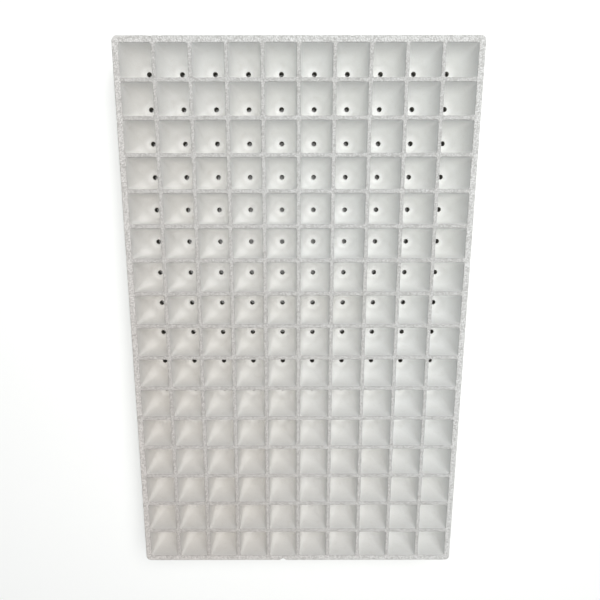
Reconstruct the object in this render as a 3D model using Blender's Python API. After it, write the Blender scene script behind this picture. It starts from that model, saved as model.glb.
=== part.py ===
"""Foam plug tray: 160 square cells in 16 rows of 10, open at the top, each with a drain hole.

A cell has steep walls down to its bowl, which closes in to the drain hole in its middle.

Units are metres and +Z is up. The tray stands on Z = 0 with the origin under its middle, its
rows run along X and its columns along Y. The real tray is one moulding of foam. Here each of
its walls is a solid of its own, and two walls that cross are half lapped: the long webs pass
below the lap height and the cross webs pass above it.
"""

import math

import bmesh
import bpy
from mathutils import Matrix, Vector

# Driving dimensions.
COLUMNS = 10
ROWS = 16
PITCH = 0.03165  # from one cell's centre to the next, both ways
HEIGHT = 0.055
WALL_TOP = 0.0040  # thickness of a web between two cell mouths
DRAIN_WIDTH = 0.0046  # drain hole across its flats
DRAIN_LENGTH = 0.0104  # straight hole between the cell's bowl and the underside
LAND = 0.00025  # ledge between the foot of a cell's bowl and its drain hole
BOWL_HEIGHT = 0.0240  # where a cell's steep walls end and its bowl begins
BOWL_WIDTH = 0.0232  # the cell's width there
KNEE_HEIGHT = 0.0135  # where the bowl's steeper facet meets its flatter one
KNEE_WIDTH = 0.0170
RIM_OUTSET = 0.00425  # from a perimeter wall's centre line to the tray's outer face
CORNER_RADIUS = 0.0050
RIM_CHAMFER = 0.0012
LAP_HEIGHT = 0.0275
GAP = 0.0003  # room between two walls where they meet
FOAM_COLOUR = (0.80, 0.80, 0.78, 1.0)
FOAM_ROUGHNESS = 0.75

# Sizes that follow from those.
HALF_WIDTH = COLUMNS * PITCH / 2  # to the centre lines of the side walls
HALF_LENGTH = ROWS * PITCH / 2  # to the centre lines of the end walls
HALF_TOP = WALL_TOP / 2
HALF_SHOULDER = (PITCH - BOWL_WIDTH) / 2
HALF_KNEE = (PITCH - KNEE_WIDTH) / 2
HALF_SLOPE_FOOT = (PITCH - DRAIN_WIDTH) / 2 - LAND
WALL_SLOPE = (HALF_SHOULDER - HALF_TOP) / (HEIGHT - BOWL_HEIGHT)
HALF_FOOT = (PITCH - DRAIN_WIDTH) / 2
DRAIN_FLAT = DRAIN_WIDTH * math.tan(math.pi / 8)  # side of the octagonal drain hole
HALF_CROSS_FOOT = (PITCH - DRAIN_FLAT) / 2  # reaches into the corners round a drain hole
OVERRUN = 0.004  # how far a cutter or an untrimmed wall passes the tray's faces
CORNER_STEPS = 6
TALL = HEIGHT + OVERRUN

# Section planes. The first axis of a section lies across the wall, the second is up.
ALONG_X = Matrix(((0, 0, 1, 0), (1, 0, 0, 0), (0, 1, 0, 0), (0, 0, 0, 1)))
ALONG_Y = Matrix(((1, 0, 0, 0), (0, 0, -1, 0), (0, 1, 0, 0), (0, 0, 0, 1)))


def new_collection(name):
    collection = bpy.data.collections.new(name)
    bpy.context.scene.collection.children.link(collection)
    return collection


def foam_material(name):
    material = bpy.data.materials.new(name + "_foam")
    material.use_nodes = True
    shader = material.node_tree.nodes["Principled BSDF"]
    shader.inputs["Base Color"].default_value = FOAM_COLOUR
    shader.inputs["Roughness"].default_value = FOAM_ROUGHNESS
    shader.inputs["Metallic"].default_value = 0.0
    return material


def extruded(outline, half_length, bevel=0.0):
    """Mesh of a flat outline extruded both ways along its own +Z, with its edges bevelled inward."""
    curve = bpy.data.curves.new("outline", "CURVE")
    curve.dimensions = "2D"
    curve.fill_mode = "BOTH"
    curve.extrude = half_length - bevel
    curve.bevel_depth = bevel
    curve.bevel_resolution = 0
    curve.offset = -bevel
    spline = curve.splines.new("POLY")
    spline.points.add(len(outline) - 1)
    for point, (across, up) in zip(spline.points, outline):
        point.co = (across, up, 0.0, 1.0)
    spline.use_cyclic_u = True
    guide = bpy.data.objects.new("outline", curve)
    bpy.context.scene.collection.objects.link(guide)
    graph = bpy.context.evaluated_depsgraph_get()
    mesh = bpy.data.meshes.new_from_object(guide.evaluated_get(graph))
    bpy.data.objects.remove(guide)
    bpy.data.curves.remove(curve)
    return mesh


def merged(name, shapes):
    """One mesh of (mesh, matrix) shapes that stay clear of each other, welded and facing out."""
    whole = bmesh.new()
    for mesh, matrix in shapes:
        mesh.transform(matrix)
        whole.from_mesh(mesh)
        bpy.data.meshes.remove(mesh)
    bmesh.ops.remove_doubles(whole, verts=whole.verts, dist=1e-6)
    bmesh.ops.recalc_face_normals(whole, faces=whole.faces)
    result = bpy.data.meshes.new(name)
    whole.to_mesh(result)
    whole.free()
    return result


def add_cutter(name, shapes):
    cutter = bpy.data.objects.new(name, merged(name, shapes))
    cutter.hide_render = True
    cutter.display_type = "WIRE"
    cutters.objects.link(cutter)
    return cutter


def add_part(name, mesh, location):
    part = bpy.data.objects.new(name, mesh)
    part.location = location
    part.data.materials.append(foam_material(name))
    tray.objects.link(part)
    return part


def boolean(part, cutter, operation):
    modifier = part.modifiers.new(cutter.name, "BOOLEAN")
    modifier.operation = operation
    modifier.solver = "EXACT"
    modifier.object = cutter


def half_thickness(height):
    """Half the thickness of a web at a height above the cells' bowls."""
    return HALF_TOP + WALL_SLOPE * (HEIGHT - height)


def web_side(foot):
    """Outline of a web from its foot to its top, on its +across side."""
    return [
        (foot, 0.0),
        (foot, DRAIN_LENGTH),
        (HALF_SLOPE_FOOT, DRAIN_LENGTH),
        (HALF_KNEE, KNEE_HEIGHT),
        (HALF_SHOULDER, BOWL_HEIGHT),
        (HALF_TOP, HEIGHT),
    ]


def web_outline(foot):
    side = web_side(foot)
    return side + [(-across, up) for across, up in reversed(side)]


def perimeter_outline(foot, inward):
    """Section of a wall of the rim, untrimmed outside; inward is +1 or -1."""
    outside = -(RIM_OUTSET + OVERRUN)
    points = web_side(foot) + [(outside, HEIGHT), (outside, 0.0)]
    return [(inward * across, up) for across, up in points]


def upper_room(outward=0):
    """Section of the room that a cross web or end wall takes above the lap, with its gap.

    outward is 0 for a web, or the side, +1 or -1, on which a wall of the rim runs on outside.
    """
    floor = LAP_HEIGHT - GAP / 2
    low = half_thickness(floor) + GAP
    high = low - WALL_SLOPE * (TALL - floor)
    if outward:
        outside = RIM_OUTSET + OVERRUN * 2
        points = [(-low, floor), (outside, floor), (outside, TALL), (-high, TALL)]
        return [(outward * across, up) for across, up in points]
    return [(-low, floor), (low, floor), (high, TALL), (-high, TALL)]


def lower_room(outward=0):
    """Section of the room that a long web or side wall takes below the lap, with its gap."""
    ceiling = LAP_HEIGHT + GAP / 2
    side = [
        (HALF_FOOT + GAP, -OVERRUN),
        (HALF_FOOT + GAP, DRAIN_LENGTH + GAP),
        (HALF_SLOPE_FOOT + GAP, DRAIN_LENGTH + GAP),
        (HALF_KNEE + GAP, KNEE_HEIGHT + GAP),
        (HALF_SHOULDER + GAP, BOWL_HEIGHT + GAP),
        (half_thickness(ceiling) + GAP, ceiling),
    ]
    if outward:
        outside = RIM_OUTSET + OVERRUN * 2
        points = [(-across, up) for across, up in side]
        points += [(outside, ceiling), (outside, -OVERRUN)]
        return [(outward * across, up) for across, up in points]
    return side + [(-across, up) for across, up in reversed(side)]


def rounded_outline():
    """The tray's outer edge seen from above."""
    right = HALF_WIDTH + RIM_OUTSET - CORNER_RADIUS
    back = HALF_LENGTH + RIM_OUTSET - CORNER_RADIUS
    centres = [(right, back), (-right, back), (-right, -back), (right, -back)]
    points = []
    for quarter, (x, y) in enumerate(centres):
        for step in range(CORNER_STEPS + 1):
            angle = math.pi / 2 * (quarter + step / CORNER_STEPS)
            turn = CORNER_RADIUS * Vector((math.cos(angle), math.sin(angle)))
            points.append((x + turn.x, y + turn.y))
    return points


def octagon():
    """A drain hole seen from above, with two flats square to X and two square to Y."""
    reach = DRAIN_WIDTH / 2 / math.cos(math.pi / 8)
    angles = [math.pi / 8 + math.pi / 4 * step for step in range(8)]
    return [(reach * math.cos(angle), reach * math.sin(angle)) for angle in angles]


def cross_lines():
    """Y of every cross web and end wall, from the front."""
    return [(line - ROWS / 2) * PITCH for line in range(ROWS + 1)]


def long_lines():
    """X of every side wall and long web, from the left."""
    return [(line - COLUMNS / 2) * PITCH for line in range(COLUMNS + 1)]


def side_of(line, lines):
    """-1 on the first line, +1 on the last, and 0 on a web between them."""
    return {lines[0]: -1, lines[-1]: 1}.get(line, 0)


def upper_cutter():
    """Room for every cross web and end wall above the lap."""
    shapes = []
    for y in cross_lines():
        outward = side_of(y, cross_lines())
        reach = HALF_WIDTH + (RIM_OUTSET + 2 * OVERRUN if outward else GAP)
        place = Matrix.Translation((0.0, y, 0.0)) @ ALONG_X
        shapes.append((extruded(upper_room(outward), reach), place))
    return add_cutter("cross_room", shapes)


def lower_cutter():
    """Room for every long web and side wall below the lap."""
    shapes = []
    for x in long_lines():
        outward = side_of(x, long_lines())
        reach = HALF_LENGTH + (RIM_OUTSET + 2 * OVERRUN if outward else GAP)
        place = Matrix.Translation((x, 0.0, 0.0)) @ ALONG_Y
        shapes.append((extruded(lower_room(outward), reach), place))
    return add_cutter("long_room", shapes)


def drain_cutter():
    """Every drain hole, from below the underside to just above the foot of the bowls."""
    top = DRAIN_LENGTH + OVERRUN / 4
    half = (top + OVERRUN) / 2
    shapes = []
    for row in range(ROWS):
        for column in range(COLUMNS):
            x = (column + 0.5) * PITCH - HALF_WIDTH
            y = (row + 0.5) * PITCH - HALF_LENGTH
            shapes.append((extruded(octagon(), half), Matrix.Translation((x, y, top - half))))
    return add_cutter("drain_holes", shapes)


def rim_envelope():
    """The tray's outer form, with its chamfered upper edge and its lower edge out of the way."""
    half = (HEIGHT + OVERRUN) / 2
    place = Matrix.Translation((0.0, 0.0, HEIGHT - half))
    return add_cutter("outer_form", [(extruded(rounded_outline(), half, RIM_CHAMFER), place)])


def wall_mesh(name, outline, half_length, direction):
    return merged(name, [(extruded(outline, half_length), direction)])


def add_long_walls(upper, envelope):
    """The side walls and the long webs, which run along Y."""
    for index, x in enumerate(long_lines()):
        outward = side_of(x, long_lines())
        if outward:
            name = "side_wall_left" if outward < 0 else "side_wall_right"
            outline = perimeter_outline(HALF_FOOT, -outward)
            reach = HALF_LENGTH + RIM_OUTSET + OVERRUN
        else:
            name = f"long_web_{index:02d}"
            outline = web_outline(HALF_FOOT)
            reach = HALF_LENGTH
        part = add_part(name, wall_mesh(name, outline, reach, ALONG_Y), (x, 0.0, 0.0))
        boolean(part, upper, "DIFFERENCE")
        if outward:
            boolean(part, envelope, "INTERSECT")


def add_cross_walls(lower, drains, envelope):
    """The end walls and the cross webs, which run along X and hold the drain holes."""
    for index, y in enumerate(cross_lines()):
        outward = side_of(y, cross_lines())
        if outward:
            name = "end_wall_front" if outward < 0 else "end_wall_back"
            outline = perimeter_outline(HALF_CROSS_FOOT, -outward)
            reach = HALF_WIDTH + RIM_OUTSET + OVERRUN
        else:
            name = f"cross_web_{index:02d}"
            outline = web_outline(HALF_CROSS_FOOT)
            reach = HALF_WIDTH
        part = add_part(name, wall_mesh(name, outline, reach, ALONG_X), (0.0, y, 0.0))
        boolean(part, lower, "DIFFERENCE")
        boolean(part, drains, "DIFFERENCE")
        if outward:
            boolean(part, envelope, "INTERSECT")


for old in list(bpy.data.objects):
    bpy.data.objects.remove(old)
tray = new_collection("plug_tray")
cutters = new_collection("cutters")
outer_form = rim_envelope()
add_long_walls(upper_cutter(), outer_form)
add_cross_walls(lower_cutter(), drain_cutter(), outer_form)
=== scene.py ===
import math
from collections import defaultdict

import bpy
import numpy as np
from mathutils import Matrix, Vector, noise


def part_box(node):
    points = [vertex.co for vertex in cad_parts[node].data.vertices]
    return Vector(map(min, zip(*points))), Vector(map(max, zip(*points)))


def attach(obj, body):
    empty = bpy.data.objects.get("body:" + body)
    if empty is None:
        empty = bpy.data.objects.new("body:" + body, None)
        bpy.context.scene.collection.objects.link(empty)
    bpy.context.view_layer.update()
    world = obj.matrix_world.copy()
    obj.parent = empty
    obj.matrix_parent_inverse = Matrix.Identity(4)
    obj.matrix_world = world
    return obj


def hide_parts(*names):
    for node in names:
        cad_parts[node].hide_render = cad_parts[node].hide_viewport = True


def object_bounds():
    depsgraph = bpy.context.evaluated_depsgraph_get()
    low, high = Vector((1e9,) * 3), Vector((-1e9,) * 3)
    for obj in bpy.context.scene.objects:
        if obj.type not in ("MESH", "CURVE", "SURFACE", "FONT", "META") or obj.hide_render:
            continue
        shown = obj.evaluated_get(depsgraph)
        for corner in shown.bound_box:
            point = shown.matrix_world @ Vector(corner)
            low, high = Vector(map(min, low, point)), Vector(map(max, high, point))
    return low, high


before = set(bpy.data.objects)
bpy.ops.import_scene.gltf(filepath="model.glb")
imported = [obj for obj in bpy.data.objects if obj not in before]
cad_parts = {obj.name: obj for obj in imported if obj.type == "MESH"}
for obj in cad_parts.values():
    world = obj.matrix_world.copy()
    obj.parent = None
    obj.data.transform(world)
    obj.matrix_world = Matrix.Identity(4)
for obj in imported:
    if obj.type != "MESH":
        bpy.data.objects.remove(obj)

# A foam plug tray: 160 square cells in one steam-moulded block of polystyrene beads. A cell
# has steep walls and a bowl that closes in to its drain hole.
# Each wall of the moulding is a piece of its own, cut from its neighbours along upright
# planes: a mitre from each drain hole to the nearest crossing, and the faces of a small
# square post at the crossing itself. Lengths are in metres, and +Z is up.

CAD_LOW, CAD_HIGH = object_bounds()

# The layout, from the frame
LONG_WEBS = sorted(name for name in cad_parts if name.startswith("long_web"))
CROSS_WEBS = sorted(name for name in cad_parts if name.startswith("cross_web"))
COLUMNS = len(LONG_WEBS) + 1
ROWS = len(CROSS_WEBS) + 1
HEIGHT = CAD_HIGH.z
MIDDLE = HEIGHT / 2  # the long webs run through a crossing below it, the cross webs above


def line_of(node, axis):
    """The centre line of a web, across the axis."""
    low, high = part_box(node)
    return (low[axis] + high[axis]) / 2


PITCH = line_of(LONG_WEBS[1], 0) - line_of(LONG_WEBS[0], 0)
HALF = PITCH / 2
HALF_WIDTH = COLUMNS * HALF  # to the centre lines of the side walls
HALF_LENGTH = ROWS * HALF
OUTSET = CAD_HIGH.x - HALF_WIDTH  # from those lines to the outer face

# One cell
MOUTH = HALF - 0.0020  # half its opening: the webs are 4 mm thick at the top
MOUTH_CORNER = 0.0012  # corner radius of the mouth
CORNER_GROWTH = 0.22  # how fast the corner radius grows with depth
EDGE = 0.0007  # rounding of the mouth's edge
DRAFT = 0.0314  # slope of the steep walls
BOWL_POWER = 3  # how late and how tightly they curve in to the bowl
FOOT = 0.0030  # radius of the flat round the drain hole
DRAIN = 0.0023  # radius of the drain hole
DRAIN_LENGTH = 0.0104
DRAIN_EDGE = 0.0003  # height of the chamfer at the hole's top
LAND_EDGE = 0.0002  # width of that chamfer, and of a narrow ring at the flat's outer edge
DEPTH = HEIGHT - DRAIN_LENGTH  # of a cell, from its mouth to the flat
POST = 0.0012  # half the square post at a crossing
INNER = HALF - POST  # from a cell's centre line to the posts' faces

# The grid of points on one side of a cell
STEPS = 48  # points across it, less one
BORE_RINGS = (0.0, 0.45, 0.88)  # as shares of the drain hole's length
BOWL_RINGS = 10
WALL_RINGS = 10
EDGE_RINGS = 4
BOWL_START = 0.68  # share of the depth at which the rings begin to follow the bowl

# The rim
RIM_CORNER = 0.0050  # radius of the tray's upright corners
RIM_EDGE = 0.0012  # rounding of its upper edge
FOOT_EDGE = 0.0006  # rounding of its lower edge
FOOT_BEND = 0.3 * FOOT_EDGE  # how far in and up the middle of that rounding lies
CORNER_STRETCH = 0.0060  # how much of a side bends into its rounded corner
RIM_ROW = 0.0011  # height of one row of points on the outer faces

# The beads
BEAD = 0.0017
GROOVE = 0.30  # share of a bead's width that falls away to the groove round it
BEAD_RELIEF = 0.00030
GROOVE_SHARE = 0.6  # share of the relief that is groove; the rest is the bead's dome
LOST_SCALE = 5.3  # how fast the noise varies that picks the lost beads
LOST_LEVEL = 0.43  # noise above which a bead has come out
PIT = 0.00065  # depth left by a bead that has come out
PIT_REACH = 0.6  # its radius, in beads
PIT_DIRT_AND_SHADE = 0.8  # darkening in it, as dirt and painted shade, next to 1 in a groove
SIDE_BEADS = 0.55  # share of the relief on the outer faces
FOOT_BEADS = 0.2  # and at their lower edge

# The wear
WAVE = 0.00042  # how far a worn mouth edge wanders
WAVE_LENGTH = 0.0048
WAVE_SHARE = 0.75  # how strongly the noise shows in them
FINE_WAVE = 0.42  # length of the finer waves, next to the long ones
FINE_SHARE = 0.3  # and how strongly they show
WORN_DEPTH = 0.0140  # how far down a cell its walls are worn
WORN_BEADS = 0.30  # bead relief of a cell's wall just below the mouth's edge
WORN_WAVE = 0.7  # and its share of the waves
EDGE_BEADS = 0.5  # bead relief where the mouth's edge begins, 1 where it turns level
EDGE_CALM = 0.75  # how much of the waves is gone where it turns level
TOP_WAVE = 0.12  # share of the waves on the level tops
DIRT_AND_SHADE_GAIN = 1.6  # how quickly grooves darken, with dirt and painted shade, as the relief grows
DIRT_AND_SHADE_DEPTH = 0.0004  # damage deeper than this is darkened, with dirt and painted shade

TOP, CELL, BORE, SIDE = range(4)  # finishes
WELD = 1e-6
KEY_SHIFT = 0.0613  # keeps round coordinates away from the steps between two keys
TINY = 1e-20


# Wear and beads ------------------------------------------------------------------------

def beads(points):
    """For each point, how far it lies below the beads' crowns (0 to 1 and more for a pit)
    and how deep it is in a groove (0 to 1)."""
    sunk = np.empty(len(points))
    groove = np.empty(len(points))
    for index, point in enumerate((points / BEAD).tolist()):
        near, centres = noise.voronoi(point)
        gap = max(0.0, 1.0 - (near[1] - near[0]) / GROOVE)
        dome = min(1.0, near[0] ** 2)
        lost = noise.noise(centres[0] * LOST_SCALE) > LOST_LEVEL
        pit = PIT / BEAD_RELIEF * max(0.0, 1.0 - near[0] / PIT_REACH) if lost else 0.0
        sunk[index] = GROOVE_SHARE * gap + (1 - GROOVE_SHARE) * dome + pit
        groove[index] = max(gap, PIT_DIRT_AND_SHADE * min(1.0, pit))
    return sunk, groove


def waves(points):
    """Slow wandering of a moulded and handled surface, 0 to 1."""
    slow = [noise.noise(point) for point in (points / WAVE_LENGTH).tolist()]
    fine = [noise.noise(point) for point in (points / (FINE_WAVE * WAVE_LENGTH)).tolist()]
    return np.clip(0.5 + WAVE_SHARE * np.array(slow) + FINE_SHARE * np.array(fine), 0, 1)


# Chips in the rim's upper edge: place, reach, depth
NOTCHES = (
    (Vector((-0.0158, -CAD_HIGH.y, HEIGHT)), 0.0024, 0.0030),
    (Vector((-0.129, CAD_HIGH.y, HEIGHT)), 0.0018, 0.0010),
    (Vector((-0.120, CAD_HIGH.y, HEIGHT)), 0.0016, 0.0009),
    (Vector((0.046, CAD_HIGH.y, HEIGHT)), 0.0022, 0.0008),
    (Vector((CAD_HIGH.x, 0.061, HEIGHT)), 0.0017, 0.0008),
    (Vector((-CAD_HIGH.x, -0.171, HEIGHT)), 0.0020, 0.0010),
)
CHIP_END = 1.25  # where a chip runs out, in reaches

# Cracks across the long sides: which side, place along it, depth
CRACKS = (
    (-1, -0.0090, 0.0007),
    (1, -0.0235, 0.0010),
)
CRACK_WIDTH = 0.0008
CRACK_START = HALF_WIDTH - 0.0012  # how far from the middle the cracks begin
CRACK_BEND = 0.0011  # how far a crack wanders
CRACK_TURNS = 170  # radians for each metre of height
CRACK_JITTER = 0.0006
JITTER_TURNS = (2100, 900)  # radians for each metre across and up


def damage(points):
    """How far chips and hairline cracks take the surface in, at each point."""
    taken = np.zeros(len(points))
    for place, reach, depth in NOTCHES:
        away = np.linalg.norm(points - np.array(place), axis=1)
        taken = np.maximum(taken, depth * np.clip(CHIP_END - away / reach, 0, 1))
    for side, y, depth in CRACKS:
        on_rim = side * points[:, 0] > CRACK_START
        fine = np.sin(points[:, 0] * JITTER_TURNS[0] + points[:, 2] * JITTER_TURNS[1])
        wander = y + CRACK_BEND * np.sin(points[:, 2] * CRACK_TURNS) + CRACK_JITTER * fine
        near = np.clip(1 - np.abs(points[:, 1] - wander) / CRACK_WIDTH, 0, 1)
        taken = np.maximum(taken, on_rim * depth * near)
    return taken


# Gathering the surface -----------------------------------------------------------------

patches = defaultdict(list)  # the visible surface of each wall, as grids of points
panels = defaultdict(list)  # its flat faces: the cuts to its neighbours, and the underside


def worn(points, inward, bead_share, wave_share):
    """A grid of points moved in along `inward` by its beads, wear and damage."""
    flat = points.reshape(-1, 3)
    bead_share = np.broadcast_to(bead_share, points.shape[:2]).reshape(-1)
    wave_share = np.broadcast_to(wave_share, points.shape[:2]).reshape(-1)
    depth = np.zeros(len(flat))
    groove = np.zeros(len(flat))
    beaded = bead_share > 0
    if beaded.any():
        sunk, deep = beads(flat[beaded])
        hurt = damage(flat[beaded])
        depth[beaded] = BEAD_RELIEF * bead_share[beaded] * sunk + hurt
        # Grooves, pits and deep damage are darkened later: partly dirt, partly painted shade of the
        # recess.
        dirt_and_shade = np.minimum(1, bead_share[beaded] * DIRT_AND_SHADE_GAIN)
        groove[beaded] = np.maximum(deep * dirt_and_shade, hurt > DIRT_AND_SHADE_DEPTH)
    wavy = wave_share > 0
    if wavy.any():
        depth[wavy] += WAVE * wave_share[wavy] * waves(flat[wavy])
    moved = flat + depth[:, None] * inward.reshape(-1, 3)
    return moved.reshape(points.shape), groove.reshape(points.shape[:2])


def add_patch(wall, points, groove, finishes):
    """A grid of points joins a wall. Seen from outside the foam, the columns follow each
    other to the left of the way in which the rows do."""
    patches[wall].append((points, groove, finishes))


def add_panel(wall, points, finish=SIDE):
    """A flat face joins a wall, its corners anticlockwise as seen from outside."""
    panels[wall].append((np.array(points), finish))


def divide(front, back, points):
    """A flat cut between two walls, its corners anticlockwise as seen from the back one.
    A wall isn't cut from itself."""
    if front != back:
        add_panel(front, points)
        add_panel(back, points[::-1])


def turned(points, turn, centre):
    """Local points (outward, along, up) of one side of a cell, in the tray's frame."""
    cos, sin = ((1, 0), (0, 1), (-1, 0), (0, -1))[turn]
    points = np.asarray(points, float)
    x = cos * points[..., 0] - sin * points[..., 1]
    y = sin * points[..., 0] + cos * points[..., 1]
    return np.stack([x + centre[0], y + centre[1], points[..., 2]], -1)


# One cell ------------------------------------------------------------------------------

def side_of_square(half, corner):
    """Points along one side of a rounded square, diagonal to diagonal, and the way out."""
    straight = half - corner
    along = np.linspace(-1, 1, STEPS + 1) * (straight + corner * math.pi / 4)
    on_side = np.clip(along, -straight, straight)
    angle = (along - on_side) / max(corner, WELD)
    out = np.stack([np.cos(angle), np.sin(angle)], 1)
    centre = np.stack([np.full(STEPS + 1, straight), on_side], 1)
    return centre + corner * out, out


def cell_half(depth):
    """Half the cell's width at a depth below its mouth, without the rounding of the edge."""
    room = max(0.0, 1 - (depth / DEPTH) ** BOWL_POWER)
    return FOOT + (MOUTH - FOOT - DRAFT * depth) * room ** (1 / BOWL_POWER)


def cell_depths():
    """Depths of the rings of a cell, from the foot up to where the mouth's edge rounds off."""
    start = math.asin(BOWL_START ** (BOWL_POWER / 2))
    turns = np.linspace(math.pi / 2, start, BOWL_RINGS, endpoint=False)
    bowl = [DEPTH * math.sin(turn) ** (2 / BOWL_POWER) for turn in turns]
    return bowl + list(np.linspace(DEPTH * BOWL_START, EDGE, WALL_RINGS))


def cell_rings():
    """The rings of a cell from the underside to the crossing: half width, height, corner
    radius, tilt of its wear (0 into the wall, 90 down), bead and wave shares, finish."""
    rings = [(DRAIN, share * DRAIN_LENGTH, DRAIN, 0, 0, 0, BORE) for share in BORE_RINGS]
    rings += [
        (DRAIN, DRAIN_LENGTH - DRAIN_EDGE, DRAIN, 0, 0, 0, BORE),
        (DRAIN + LAND_EDGE, DRAIN_LENGTH, DRAIN + LAND_EDGE, 0, 0, 0, CELL),
        (FOOT - LAND_EDGE, DRAIN_LENGTH, FOOT - LAND_EDGE, 0, 0, 0, CELL),
    ]
    for depth in cell_depths():
        half = cell_half(depth)
        corner = min(half, MOUTH_CORNER + CORNER_GROWTH * depth)
        near = max(0.0, 1 - depth / WORN_DEPTH)
        height = HEIGHT - depth
        rings.append((half, height, corner, 0, WORN_BEADS * near, WORN_WAVE * near, CELL))
    for angle in np.linspace(0, math.pi / 2, EDGE_RINGS + 1)[1:]:
        half = cell_half(EDGE) + EDGE * (1 - math.cos(angle))
        height = HEIGHT - EDGE + EDGE * math.sin(angle)
        level = math.sin(angle)
        bead_share = EDGE_BEADS + (1 - EDGE_BEADS) * level
        wave_share = 1 - EDGE_CALM * level
        rings.append((half, height, MOUTH_CORNER, math.degrees(angle), bead_share, wave_share, TOP))
    rings.append((INNER, HEIGHT, 0.0, 90, 1, TOP_WAVE, TOP))
    return rings


def cell_side():
    """One side of a cell in its own frame: points, ways in, bead and wave shares, finishes."""
    points = []
    inward = []
    rings = cell_rings()
    for half, height, corner, tilt, _, _, _ in rings:
        place, out = side_of_square(half, corner)
        lean = math.radians(tilt)
        points.append(np.column_stack([place, np.full(STEPS + 1, height)]))
        inward.append(np.column_stack([out * math.cos(lean), np.full(STEPS + 1, -math.sin(lean))]))
    along = np.linspace(-INNER, INNER, STEPS + 1)
    for half in (HALF - POST / 2, HALF):
        points.append(np.column_stack([np.full(STEPS + 1, half), along, np.full(STEPS + 1, HEIGHT)]))
        inward.append(np.tile((0.0, 0.0, -1.0), (STEPS + 1, 1)))
    shares = np.array([ring[4:6] for ring in rings] + [(1, TOP_WAVE)] * 2)
    finishes = [ring[6] for ring in rings[1:]] + [TOP, TOP]
    return np.array(points), np.array(inward), shares[:, :1], shares[:, 1:], finishes


CELL_SIDE = cell_side()
LAST_RING = len(CELL_SIDE[0]) - 3  # the ring whose corners are the posts' corners


def walls_round(column, row):
    """The walls right, behind, left and in front of a cell."""
    right = LONG_WEBS[column] if column < COLUMNS - 1 else "side_wall_right"
    left = LONG_WEBS[column - 1] if column else "side_wall_left"
    behind = CROSS_WEBS[row] if row < ROWS - 1 else "end_wall_back"
    front = CROSS_WEBS[row - 1] if row else "end_wall_front"
    return right, behind, left, front


def post_holders(first, second):
    """The walls that hold the lower and the upper half of the post where two walls meet."""
    for kind in ("side_wall", "end_wall"):
        for wall in (first, second):
            if wall.startswith(kind):
                return wall, wall
    return (first, second) if first in LONG_WEBS else (second, first)


def add_side(wall, centre, turn):
    """One side of a cell joins its wall, and its grid of points is returned."""
    points, inward, bead_share, wave_share, finishes = CELL_SIDE
    placed = turned(points, turn, centre)
    ways = turned(inward, turn, (0, 0))
    placed, groove = worn(placed, ways, bead_share, wave_share)
    add_patch(wall, placed, groove, finishes)
    low = [(INNER, INNER, 0), (HALF, INNER, 0), (HALF, -INNER, 0), (INNER, -INNER, 0)]
    add_panel(wall, [*placed[0], *turned(low, turn, centre)])
    return placed


def add_post(centre, turn, wall, side, next_wall):
    """The quarter of a post at one corner of a cell, and the cuts that meet there."""
    lower, upper = post_holders(wall, next_wall)

    def at(x, y, z):
        return turned((x, y, z), turn, centre)

    ticks = np.array([INNER, HALF - POST / 2, HALF])
    x, y = np.meshgrid(ticks, ticks, indexing="ij")
    top = turned(np.stack([x, y, np.full_like(x, HEIGHT)], -1), turn, centre)
    top, groove = worn(top, np.tile((0.0, 0.0, -1.0), (3, 3, 1)), 1, TOP_WAVE)
    add_patch(upper, top, groove, [TOP, TOP])
    add_panel(lower, [at(INNER, INNER, 0), at(INNER, HALF, 0), at(HALF, HALF, 0), at(HALF, INNER, 0)])
    square = [(INNER, INNER), (HALF, INNER), (HALF, HALF), (INNER, HALF)]
    divide(lower, upper, [at(*spot, MIDDLE) for spot in square])

    corner = [at(INNER, INNER, MIDDLE), at(INNER, INNER, 0)]
    divide(wall, next_wall, [*side[: LAST_RING + 1, -1], *corner])
    at_tray_corner = "side" in wall + next_wall and "end" in wall + next_wall
    cuts = (
        (wall, None, top[:, 0], (INNER, INNER), (HALF, INNER)),
        (None, next_wall, top[0, :], (INNER, INNER), (INNER, HALF)),
    )
    if at_tray_corner:
        cuts += (
            (wall, None, top[2, :], (HALF, INNER), (HALF, HALF)),
            (None, next_wall, top[:, 2], (INNER, HALF), (HALF, HALF)),
        )
    for front, back, edge, start, end in cuts:
        divide(front or upper, back or upper, [*edge, at(*end, MIDDLE), at(*start, MIDDLE)])
        face = [at(*start, MIDDLE), at(*end, MIDDLE), at(*end, 0), at(*start, 0)]
        divide(front or lower, back or lower, face)


def add_cell(column, row):
    """The four sides of a cell and the quarter posts at its corners."""
    centre = ((2 * column + 1 - COLUMNS) * HALF, (2 * row + 1 - ROWS) * HALF)
    walls = walls_round(column, row)
    sides = [add_side(walls[turn], centre, turn) for turn in range(4)]
    for turn in range(4):
        add_post(centre, turn, walls[turn], sides[turn], walls[(turn + 1) % 4])


# The rim -------------------------------------------------------------------------------

def rim_rows():
    """Rows of the rim from the wall's centre line over its edge to the underside: way out,
    height, tilt of its wear, bead share and finish."""
    flat = OUTSET - RIM_EDGE
    rows = [(flat * part, HEIGHT, 90, 1.0, TOP) for part in (0, 0.25, 0.5, 0.75, 1)]
    for degrees in (67.5, 45, 22.5, 0):
        angle = math.radians(degrees)
        out = flat + RIM_EDGE * math.cos(angle)
        rows.append((out, HEIGHT - RIM_EDGE + RIM_EDGE * math.sin(angle), degrees, 1.0, TOP))
    count = round((HEIGHT - RIM_EDGE - FOOT_EDGE) / RIM_ROW)
    heights = np.linspace(HEIGHT - RIM_EDGE, FOOT_EDGE, count + 1)[1:]
    rows += [(OUTSET, height, 0, SIDE_BEADS, SIDE) for height in heights]
    rows.append((OUTSET - FOOT_BEND, FOOT_BEND, 0, FOOT_BEADS, SIDE))
    rows.append((OUTSET - FOOT_EDGE, 0.0, 0, 0, SIDE))
    return rows


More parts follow.
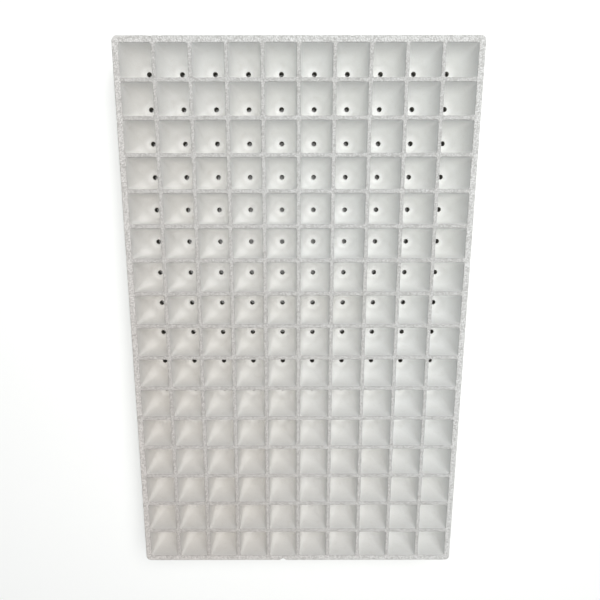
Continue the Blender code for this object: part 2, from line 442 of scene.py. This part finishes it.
def rim_stations(cells):
    """Places along a wall's centre line, the same as on the cells and posts beside it."""
    stations = []
    for cell in range(cells):
        middle = (2 * cell + 1 - cells) * HALF
        stations += [middle - HALF, middle - HALF + POST / 2]
        stations += list(middle + np.linspace(-INNER, INNER, STEPS + 1))
        stations.append(middle + HALF - POST / 2)
    return np.array(stations + [cells * HALF])


def rim_row(stations, reach, half, out):
    """One row of the rim, which bends round the tray's corners: places and ways out."""
    corner = RIM_CORNER * out / OUTSET
    straight = half - CORNER_STRETCH
    share = np.clip((np.abs(stations) - straight) / CORNER_STRETCH, 0, 1)
    path = share * (CORNER_STRETCH + out - corner + corner * math.pi / 4)
    before = np.minimum(path, CORNER_STRETCH + out - corner)
    angle = (path - before) / max(corner, WELD)
    along = np.where(share > 0, straight + before + corner * np.sin(angle), np.abs(stations))
    x = reach + out - corner + corner * np.cos(angle)
    ways = np.stack([np.cos(angle), np.sign(stations) * np.sin(angle)], 1)
    return np.stack([x, np.sign(stations) * along], 1), ways


def add_rim(wall, turn, cells, reach):
    """The outer part of a rim wall. Returns its grid of points."""
    stations = rim_stations(cells)
    points = []
    inward = []
    rows = rim_rows()
    for out, height, tilt, _, _ in rows:
        place, ways = rim_row(stations, reach, cells * HALF, out)
        lean = math.radians(tilt)
        level = np.full(len(stations), height)
        points.append(np.column_stack([place, level]))
        inward.append(np.column_stack([-ways * math.cos(lean), np.full_like(level, -math.sin(lean))]))
    share = np.array([[row[3]] for row in rows])
    wave = np.array([[TOP_WAVE if row[3] == 1 else 0] for row in rows])
    placed = turned(np.array(points), turn, (0, 0))
    ways = turned(np.array(inward), turn, (0, 0))
    placed, groove = worn(placed, ways, share, wave)
    add_patch(wall, placed, groove, [row[4] for row in rows[1:]])
    per_cell = STEPS + 4
    for cell in range(cells):
        middle = (2 * cell + 1 - cells) * HALF
        low = [(reach, middle + step, 0) for step in (HALF, INNER, -INNER, -HALF)]
        outer = placed[-1, cell * per_cell : (cell + 1) * per_cell + 1]
        add_panel(wall, [*outer[::-1], *turned(low[::-1], turn, (0, 0))])
    return placed


def add_rims():
    """The outer parts of the four rim walls, and the cuts between them at the corners."""
    sides = (
        ("side_wall_right", ROWS, HALF_WIDTH),
        ("end_wall_back", COLUMNS, HALF_LENGTH),
        ("side_wall_left", ROWS, HALF_WIDTH),
        ("end_wall_front", COLUMNS, HALF_LENGTH),
    )
    rims = [add_rim(wall, turn, cells, reach) for turn, (wall, cells, reach) in enumerate(sides)]
    for turn, (wall, cells, reach) in enumerate(sides):
        post = [(reach, cells * HALF, 0), (reach, cells * HALF, MIDDLE)]
        next_wall = sides[(turn + 1) % 4][0]
        divide(wall, next_wall, [*rims[turn][:, -1], *turned(post, turn, (0, 0))])


# From grids to pieces ------------------------------------------------------------------

def keys_of(points):
    """Whole numbers that are equal for points that coincide."""
    return np.floor(points / WELD + KEY_SHIFT).astype(np.int64)


def corners_of(grid):
    """The four corners of each quad of a grid."""
    return np.stack([grid[:-1, :-1], grid[1:, :-1], grid[1:, 1:], grid[:-1, 1:]], 2)


def smooth_normals():
    """Normals that run on from one wall into the next, for each patch's points."""
    grids = [points for wall in patches.values() for points, _, _ in wall]
    keys = keys_of(np.concatenate([grid.reshape(-1, 3) for grid in grids]))
    _, places = np.unique(keys, axis=0, return_inverse=True)
    places = places.reshape(-1)
    total = np.zeros((places.max() + 1, 3))
    start = 0
    spans = []
    for grid in grids:
        size = grid.shape[0] * grid.shape[1]
        index = places[start : start + size].reshape(grid.shape[:2])
        corners = corners_of(grid)
        face = np.cross(corners[:, :, 2] - corners[:, :, 0], corners[:, :, 3] - corners[:, :, 1])
        spots = corners_of(index).reshape(-1, 4)
        for corner in range(4):
            np.add.at(total, spots[:, corner], face.reshape(-1, 3))
        spans.append(index)
        start += size
    total /= np.maximum(np.linalg.norm(total, axis=1), TINY)[:, None]
    found = iter(spans)
    return {wall: [total[next(found)] for _ in patches[wall]] for wall in patches}


def wall_faces(wall, normals):
    """All faces of a wall: corner points, corner normals, grooves, sizes and finishes."""
    points, ways, grooves, sizes, finishes = [], [], [], [], []
    for (grid, groove, rows), normal in zip(patches[wall], normals):
        quads = corners_of(grid).reshape(-1, 3)
        points.append(quads)
        ways.append(corners_of(normal).reshape(-1, 3))
        grooves.append(corners_of(groove).reshape(-1))
        sizes += [4] * (len(quads) // 4)
        finishes += list(np.repeat(rows, grid.shape[1] - 1))
    for outline, finish in panels[wall]:
        ahead = np.roll(outline, -1, axis=0)
        way = np.cross(outline, ahead).sum(axis=0)
        points.append(outline)
        ways.append(np.tile(way / np.linalg.norm(way), (len(outline), 1)))
        grooves.append(np.zeros(len(outline)))
        sizes.append(len(outline))
        finishes.append(finish)
    return np.concatenate(points), np.concatenate(ways), np.concatenate(grooves), sizes, finishes


def make_wall(wall, normals, materials):
    """The closed mesh of one wall, which stands for the CAD node of the same name."""
    points, ways, grooves, sizes, finishes = wall_faces(wall, normals)
    _, first, index = np.unique(keys_of(points), axis=0, return_index=True, return_inverse=True)
    ends = np.cumsum(sizes)
    faces = np.split(index.reshape(-1), ends[:-1])
    mesh = bpy.data.meshes.new(wall + "_foam")
    mesh.from_pydata(points[first].tolist(), [], [face.tolist() for face in faces])
    mesh.polygons.foreach_set("material_index", np.array(finishes, np.int32))
    mesh.shade_smooth()
    mesh.normals_split_custom_set(ways.tolist())
    layer = mesh.attributes.new("groove", "FLOAT", "POINT")
    layer.data.foreach_set("value", grooves[first].astype(np.float32))
    for material in materials:
        mesh.materials.append(material)
    piece = bpy.data.objects.new(mesh.name, mesh)
    bpy.context.scene.collection.objects.link(piece)
    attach(piece, "root")
    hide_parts(wall)


# Materials -----------------------------------------------------------------------------

SHADE_FADE = (1.3, 0.6)  # how the painted shade fades to the right and to the back
SHADE_SPAN = (-0.30, 0.12)  # where it is full, and where it has gone
SHADE_PATCH = 0.10  # size of its patches, and how far they shift it
RIM_SPAN = (-0.0025, -0.0005)  # out from the rim walls' centre lines: webs end, rim begins
MOUTH_SHADE_START = 0.020  # height below which a cell's walls are palest, as painted light deep in the cell; above it they are painted darker towards the mouth
BOWL_SHADE_TOP = 0.021  # height below which the bowl is painted a little darker again, as painted shade that hides the step from wall to bowl
SKIN_BEAD = BEAD * 1.15  # the beads as their outlines show in a cell's skin


class Nodes:
    """A material's nodes, added one at a time."""

    def __init__(self, name):
        self.material = bpy.data.materials.new(name)
        self.material.use_nodes = True
        self.tree = self.material.node_tree
        self.shader = next(node for node in self.tree.nodes if node.type == "BSDF_PRINCIPLED")
        self.place = self.add("TexCoord").outputs["Object"]

    def add(self, kind, inputs=None, **settings):
        """A new node with its settings and inputs."""
        node = self.tree.nodes.new("ShaderNode" + kind)
        for key, value in settings.items():
            setattr(node, key, value)
        for key, value in (inputs or {}).items():
            self.feed(node.inputs[key], value)
        return node

    def feed(self, socket, value):
        """Another node's output or a plain value goes into a socket."""
        if isinstance(value, bpy.types.NodeSocket):
            self.tree.links.new(value, socket)
        else:
            socket.default_value = value

    def noise(self, size, detail=2.0, roughness=0.5):
        """Soft noise of a given size in metres, 0 to 1."""
        inputs = {"Vector": self.place, "Scale": 1 / size, "Detail": detail, "Roughness": roughness}
        return self.add("TexNoise", inputs).outputs["Fac"]

    def clouds(self, size):
        """Broad clouds of a given size, 0 to 1."""
        return self.ramp(self.noise(size), 0.35, 0.65)

    def cells(self, size, feature="F1", output="Distance"):
        """Beads of a given size: the distance to their seams, or a colour for each."""
        inputs = {"Vector": self.place, "Scale": 1 / size}
        return self.add("TexVoronoi", inputs, feature=feature).outputs[output]

    def seams(self, bead, width, low=0.0, high=1.0):
        """Low on the seams between the beads, and high from a width away."""
        return self.ramp(self.cells(bead, "DISTANCE_TO_EDGE"), 0.0, width, low, high)

    def each_bead(self):
        """A random number for each bead, 0 to 1."""
        return self.add("SeparateColor", {"Color": self.cells(BEAD, output="Color")}).outputs[0]

    def groove(self):
        """The darkening between the modelled beads, partly dirt and partly painted shade, as stored
        on the mesh.
        """
        return self.add("Attribute", attribute_name="groove").outputs["Fac"]

    def ramp(self, value, start, end, low=0.0, high=1.0):
        """Low up to the start, high from the end on, and a straight line between them."""
        inputs = {"Value": value, "From Min": start, "From Max": end, "To Min": low, "To Max": high}
        return self.add("MapRange", inputs).outputs["Result"]

    def math(self, operation, first, second):
        """A sum, a product or the like of two values."""
        return self.add("Math", {0: first, 1: second}, operation=operation).outputs[0]

    def mix(self, share, first, second, blend="MIX"):
        """The first colour with a share of the second in it."""
        inputs = {0: share, 6: first, 7: second}  # the sockets for colours
        return self.add("Mix", inputs, data_type="RGBA", blend_type=blend).outputs[2]

    def shaded_front_left(self, colour, tint):
        """The colour multiplied by a darker, warmer tint, most at the front left of the tray: painted
        shade with a warm cast, standing for dimmer, warmer light there.
        """
        x, y, _ = self.add("SeparateXYZ", {"Vector": self.place}).outputs
        away = self.math("ADD", self.math("MULTIPLY", x, SHADE_FADE[0]), self.math("MULTIPLY", y, SHADE_FADE[1]))
        patchy = self.ramp(self.noise(SHADE_PATCH), 0, 1, -SHADE_PATCH, SHADE_PATCH)
        share = self.ramp(self.math("ADD", away, patchy), *SHADE_SPAN, 1.0, 0.0)
        return self.mix(share, colour, (*tint, 1.0), "MULTIPLY")

    def rim(self):
        """1 on the tray's rim and 0 on the webs."""
        x, y, _ = self.add("SeparateXYZ", {"Vector": self.place}).outputs
        across = self.math("SUBTRACT", self.math("ABSOLUTE", x, 0), HALF_WIDTH)
        along = self.math("SUBTRACT", self.math("ABSOLUTE", y, 0), HALF_LENGTH)
        return self.ramp(self.math("MAXIMUM", across, along), *RIM_SPAN)

    def bump(self, height, depth, below=None):
        """A bump of a given depth in metres."""
        inputs = {"Height": height, "Distance": depth, "Strength": 1.0}
        if below is not None:
            inputs["Normal"] = below
        return self.add("Bump", inputs).outputs["Normal"]

    def finish(self, colour, roughness, normal):
        """The shader's inputs, and the finished material."""
        self.feed(self.shader.inputs["Base Color"], colour)
        self.feed(self.shader.inputs["Roughness"], roughness)
        self.feed(self.shader.inputs["Normal"], normal)
        return self.material


def grey(level, warm=0.0):
    """A near-neutral colour. Warm above 0 is yellower, below 0 bluer."""
    return (level * (0.995 + warm * 0.35), level, level * (0.98 - warm), 1.0)


def top_finish():
    """Web tops and rim edge: handled, so the beads stand out; the grooves between them are darkened,
    partly as dirt and partly as painted shade.
    """
    n = Nodes("foam_top")
    colour = n.mix(n.clouds(0.11), grey(0.62, 0.01), grey(0.65, 0.0))
    colour = n.mix(n.rim(), colour, grey(0.76, 0.0))
    colour = n.mix(n.ramp(n.each_bead(), 0, 1, 0.0, 0.24), colour, grey(0.45, 0.03))
    speck = n.ramp(n.noise(0.0011, 3.0, 0.7), 0.56, 0.72)
    colour = n.mix(n.math("MULTIPLY", speck, 0.34), colour, grey(0.42, 0.06))
    # Painted shade, with some dirt, in the grooves, pits, chips and cracks.
    colour = n.mix(n.math("MULTIPLY", n.groove(), 0.72), colour, grey(0.27, 0.05))
    # Painted shade with a warm cast, strongest at the front left.
    colour = n.shaded_front_left(colour, (0.95, 0.895, 0.87))
    roughness = n.ramp(n.noise(0.0016), 0.3, 0.7, 0.62, 0.86)
    grain = n.bump(n.noise(0.00045, 3.0), 0.00010)
    return n.finish(colour, roughness, n.bump(n.seams(BEAD, 0.16), 0.00012, grain))


def cell_finish():
    """Inside a cell: the mould's smooth skin, with a faint net of bead outlines. Its brightness with
    height is painted light: palest deep down, darker towards the mouth, and a little darker on the
    bowl.
    """
    n = Nodes("foam_cell")
    height = n.add("SeparateXYZ", {"Vector": n.place}).outputs["Z"]
    pale = n.mix(n.clouds(0.09), grey(0.935, 0.0), grey(0.95, -0.01))
    # Painted light: palest deep in the cell, darker towards the mouth, and the bowl a little darker
    # again.
    colour = n.mix(n.ramp(height, MOUTH_SHADE_START, HEIGHT), pale, grey(0.86, 0.0))
    colour = n.mix(n.ramp(height, DRAIN_LENGTH, BOWL_SHADE_TOP, 0.8, 0.0), colour, grey(0.88, 0.0))
    colour = n.mix(n.seams(SKIN_BEAD, 0.09, 0.16, 0.0), colour, grey(0.60, 0.03))
    stain = n.ramp(n.noise(0.0062, 3.0), 0.56, 0.76, 0.0, 0.16)
    colour = n.mix(stain, colour, grey(0.66, 0.10))
    # Painted shade with a warm cast, strongest at the front left.
    colour = n.shaded_front_left(colour, (0.935, 0.905, 0.885))
    roughness = n.ramp(n.noise(0.004), 0.3, 0.7, 0.45, 0.62)
    soft = n.bump(n.noise(0.0055), 0.00020)
    return n.finish(colour, roughness, n.bump(n.seams(SKIN_BEAD, 0.14), 0.00003, soft))


def bore_finish():
    """Inside a drain hole: stained by peat and roots, and painted very dark as the shade deep inside
    the hole.
    """
    n = Nodes("foam_bore")
    stain = n.ramp(n.noise(0.0021, 3.0, 0.6), 0.35, 0.65)
    # Mostly painted shade: the inside of the hole is coloured near black, with some staining.
    colour = n.mix(stain, grey(0.16, 0.10), grey(0.30, 0.08))
    roughness = n.ramp(stain, 0, 1, 0.95, 0.75)
    return n.finish(colour, roughness, n.bump(n.noise(0.0006, 2.0), 0.00008))


def side_finish():
    """Outer faces and underside: pressed beads, each a slightly different white."""
    n = Nodes("foam_side")
    colour = n.mix(n.clouds(0.06), grey(0.76, 0.04), grey(0.80, 0.01))
    colour = n.mix(n.ramp(n.each_bead(), 0, 1, 0.0, 0.20), colour, grey(0.60, 0.04))
    colour = n.mix(n.seams(BEAD, 0.10, 0.32, 0.0), colour, grey(0.45, 0.06))
    # Painted shade, with some dirt, in the grooves, chips and cracks.
    colour = n.mix(n.math("MULTIPLY", n.groove(), 0.45), colour, grey(0.40, 0.08))
    roughness = n.ramp(n.noise(0.0016), 0.3, 0.7, 0.60, 0.80)
    return n.finish(colour, roughness, n.bump(n.seams(BEAD, 0.14), 0.00010))


# The studio ----------------------------------------------------------------------------

FLOOR_REACH = 6.0


def add_floor():
    """A plain sheet of white paper that the tray stands on."""
    mesh = bpy.data.meshes.new("floor")
    square = ((-1, -1), (1, -1), (1, 1), (-1, 1))
    corners = [(x * FLOOR_REACH, y * FLOOR_REACH, 0) for x, y in square]
    mesh.from_pydata(corners, [], [(0, 1, 2, 3)])
    n = Nodes("floor_paper")
    n.feed(n.shader.inputs["Base Color"], n.mix(n.noise(0.25), grey(0.96), grey(0.975)))
    n.feed(n.shader.inputs["Roughness"], 0.9)
    mesh.materials.append(n.material)
    floor = bpy.data.objects.new("floor", mesh)
    bpy.context.scene.collection.objects.link(floor)


def add_light(name, place, target, size, power, colour):
    """A round soft box that shines from one place towards another."""
    data = bpy.data.lights.new(name, "AREA")
    data.shape = "DISK"
    data.size = size
    data.energy = power
    data.color = colour
    light = bpy.data.objects.new(name, data)
    light.location = place
    way = Vector(target) - Vector(place)
    light.rotation_mode = "QUATERNION"
    light.rotation_quaternion = way.to_track_quat("-Z", "Y")
    bpy.context.scene.collection.objects.link(light)


def add_studio():
    """A white floor, two soft boxes overhead and an even sky."""
    add_floor()
    key = (0.36, 0.70, 1.70)
    fill = (0.10, -0.50, 1.80)
    add_light("key", key, (0.02, 0, 0), size=1.3, power=27.0, colour=(1.0, 1.0, 1.0))
    add_light("fill", fill, (0, 0, 0), size=1.3, power=9.0, colour=(1.0, 0.98, 0.97))
    world = bpy.data.worlds.new("studio")
    world.use_nodes = True
    sky = next(node for node in world.node_tree.nodes if node.type == "BACKGROUND")
    sky.inputs["Color"].default_value = (0.93, 0.96, 1.0, 1.0)
    sky.inputs["Strength"].default_value = 0.30
    bpy.context.scene.world = world
    bpy.context.scene.view_settings.view_transform = "Standard"


def add_camera():
    """Held above the tray's back half and tipped a little towards its front. Its place,
    angles, lens and shift are fitted to the photo."""
    data = bpy.data.cameras.new("camera")
    data.lens = 29.48
    data.sensor_width = 36.0
    data.shift_x = 0.0167
    data.shift_y = 0.0339
    data.clip_start = 0.01
    camera = bpy.data.objects.new("camera", data)
    place = Matrix.Translation((-0.0080, 0.1019, 0.5195))
    tip = Matrix.Rotation(math.radians(-11.68), 4, "X")
    roll = Matrix.Rotation(math.radians(-0.09), 4, "Z")
    camera.matrix_world = place @ tip @ roll
    bpy.context.scene.collection.objects.link(camera)
    bpy.context.scene.camera = camera


def build_tray():
    """Every wall's surface, then the walls themselves in their four finishes."""
    for row in range(ROWS):
        for column in range(COLUMNS):
            add_cell(column, row)
    add_rims()
    normals = smooth_normals()
    materials = [top_finish(), cell_finish(), bore_finish(), side_finish()]
    for wall in sorted(patches):
        make_wall(wall, normals[wall], materials)


build_tray()
add_studio()
add_camera()
